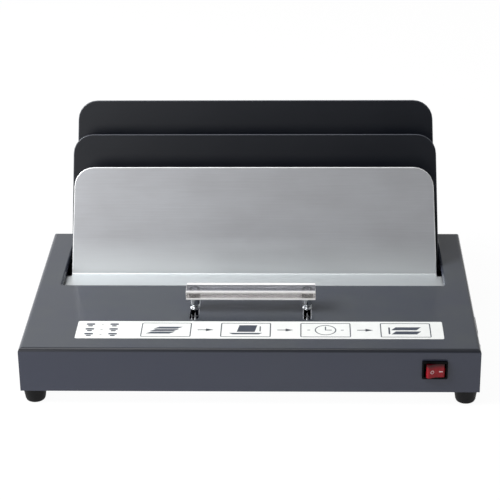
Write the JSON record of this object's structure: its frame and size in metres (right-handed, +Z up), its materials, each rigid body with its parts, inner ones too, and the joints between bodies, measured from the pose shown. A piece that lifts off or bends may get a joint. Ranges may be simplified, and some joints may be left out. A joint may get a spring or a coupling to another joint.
{
  "type": "thermal binding machine",
  "caption": "Desktop thermal binding machine: low folded housing on feet, leaning document plates, sliding aluminium clamp plate with a clear handle, rocker switch.",
  "frame": {"origin": "centre of the overall box on the plane that the feet stand on", "axes": "+X to the machine's right as its user sees it, +Y towards the back, away from the user, +Z up"},
  "size_m": [0.3866, 0.2556, 0.179],
  "materials": {
    "housing_paint": "fine-textured dark grey baked enamel, satin",
    "zinc_steel": "zinc-plated sheet steel, dull",
    "foot_rubber": "moulded black rubber, matt",
    "fastener_steel": "zinc-plated fasteners",
    "clamp_aluminium": "natural anodised aluminium sheet with bright deburred edges",
    "clear_acrylic": "polished clear acrylic bar",
    "post_chrome": "turned and chrome-plated",
    "slide_nylon": "natural nylon, moulded",
    "rod_steel": "ground steel rod, lightly greased",
    "plate_black": "black baked enamel, satin",
    "heater_aluminium": "milled aluminium plate",
    "mat_silicone": "silicone heating mat",
    "insulation_fibre": "pressed ceramic-fibre board",
    "standoff_ceramic": "unglazed steatite",
    "phenolic_brown": "moulded phenolic with tinned tabs",
    "switch_black": "moulded black nylon, satin",
    "rocker_red": "translucent red polycarbonate",
    "inlet_black": "moulded black plastic with nickel pins"
  },
  "bodies": {
    "housing": {"housing_cover": "housing_paint", "base_pan": "zinc_steel", "foot_front_left": "foot_rubber", "foot_front_right": "foot_rubber", "foot_rear_left": "foot_rubber", "foot_rear_right": "foot_rubber", "foot_screw_front_left": "fastener_steel", "foot_screw_front_right": "fastener_steel", "foot_screw_rear_left": "fastener_steel", "foot_screw_rear_right": "fastener_steel", "foot_nut_front_left": "fastener_steel", "foot_nut_front_right": "fastener_steel", "foot_nut_rear_left": "fastener_steel", "foot_nut_rear_right": "fastener_steel", "cover_screw_front_left": "fastener_steel", "cover_screw_front_right": "fastener_steel", "cover_screw_rear_left": "fastener_steel", "cover_screw_rear_right": "fastener_steel", "guide_rod_left": "rod_steel", "guide_rod_right": "rod_steel", "guide_bracket_front": "zinc_steel", "guide_bracket_rear": "zinc_steel", "middle_plate": "plate_black", "rear_plate": "plate_black", "plate_carrier": "zinc_steel", "rivet_middle_left": "fastener_steel", "rivet_middle_right": "fastener_steel", "rivet_rear_left": "fastener_steel", "rivet_rear_right": "fastener_steel", "heating_plate": "heater_aluminium", "heater_mat": "mat_silicone", "insulation_board": "insulation_fibre", "heater_tray": "zinc_steel", "heater_standoff_front_left": "standoff_ceramic", "heater_standoff_front_right": "standoff_ceramic", "heater_standoff_rear_left": "standoff_ceramic", "heater_standoff_rear_right": "standoff_ceramic", "thermostat": "phenolic_brown", "switch_body": "switch_black", "power_inlet": "inlet_black", "inlet_screw_front": "fastener_steel", "inlet_screw_rear": "fastener_steel", "terminal_block": "slide_nylon"},
    "clamp_carriage": {"clamp_plate": "clamp_aluminium", "handle_bar": "clear_acrylic", "handle_post_left": "post_chrome", "handle_post_right": "post_chrome", "handle_nut_left": "fastener_steel", "handle_nut_right": "fastener_steel", "slide_block_left": "slide_nylon", "slide_block_right": "slide_nylon", "block_screw_left": "fastener_steel", "block_screw_right": "fastener_steel"},
    "power_rocker": {"rocker": "rocker_red"}
  },
  "joints": [
    {"name": "clamp_slide", "type": "slide", "parent": "housing", "child": "clamp_carriage", "axis": [0, 1, 0], "range_m": [-0.016, 0.028]},
    {"name": "rocker_tilt", "type": "hinge", "parent": "housing", "child": "power_rocker", "pos_m": [0.1512, -0.12102, 0.0347], "axis": [0, 0, 1], "range_deg": [-22, 0]}
  ]
}
